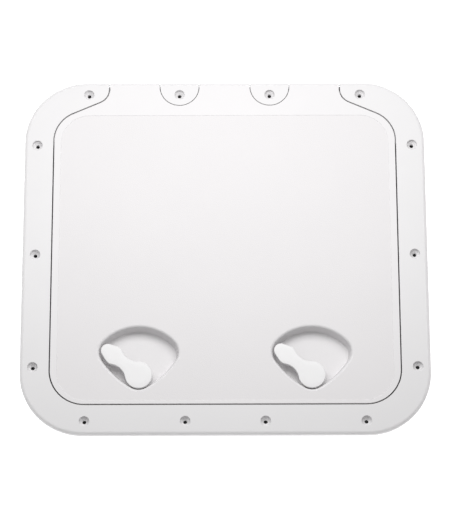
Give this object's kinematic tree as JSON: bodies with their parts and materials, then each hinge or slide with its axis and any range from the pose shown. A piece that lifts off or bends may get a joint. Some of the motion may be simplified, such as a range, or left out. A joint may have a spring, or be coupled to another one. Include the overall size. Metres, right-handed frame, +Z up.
{
  "type": "deck hatch",
  "caption": "Hinged deck hatch: moulded frame with a drained gutter, lid that opens on a long rod hinge, recessed turn handles with cams under the lid.",
  "frame": {"origin": "middle of the deck-screw pattern, on the underside of the frame's flange, which is the deck's surface", "axes": "+Z up out of the deck, +Y towards the hinge edge, +X to the right seen from the latch side"},
  "size_m": [0.513, 0.463, 0.038],
  "materials": {
    "frame_plastic": "satin off-white moulded plastic",
    "lid_plastic": "off-white moulded plastic, fine anti-slip grain on the panel",
    "handle_plastic": "smooth semi-gloss off-white plastic",
    "gasket_rubber": "black sealing rubber",
    "stainless": "drawn and turned stainless steel",
    "cast_stainless": "investment-cast stainless steel, tumbled",
    "washer_nylon": "natural nylon"
  },
  "bodies": {
    "frame": {"frame": "frame_plastic", "collar": "frame_plastic", "gutter": "frame_plastic", "gutter_upstand": "frame_plastic", "hinge_rod": "stainless", "rod_plug_left": "frame_plastic", "rod_plug_right": "frame_plastic"},
    "lid": {"lid": "lid_plastic", "handle_cup_left": "lid_plastic", "handle_cup_right": "lid_plastic", "lid_gasket": "gasket_rubber"},
    "latch_left": {"handle_left": "handle_plastic", "spindle_left": "stainless", "o_ring_left": "gasket_rubber", "thrust_washer_left": "washer_nylon", "cam_left": "cast_stainless", "cam_washer_left": "stainless", "cam_screw_left": "stainless"},
    "latch_right": {"handle_right": "handle_plastic", "spindle_right": "stainless", "o_ring_right": "gasket_rubber", "thrust_washer_right": "washer_nylon", "cam_right": "cast_stainless", "cam_washer_right": "stainless", "cam_screw_right": "stainless"}
  },
  "joints": [
    {"name": "lid_hinge", "type": "hinge", "parent": "frame", "child": "lid", "pos_m": [0, 0.22675, 0.00525], "axis": [-1, 0, 0], "range_deg": [0, 180]},
    {"name": "latch_turn_left", "type": "hinge", "parent": "lid", "child": "latch_left", "pos_m": [-0.108, -0.1556, 0], "axis": [0, 0, -1], "range_deg": [0, 100]},
    {"name": "latch_turn_right", "type": "hinge", "parent": "lid", "child": "latch_right", "pos_m": [0.108, -0.1556, 0], "axis": [0, 0, -1], "range_deg": [0, 100]}
  ]
}
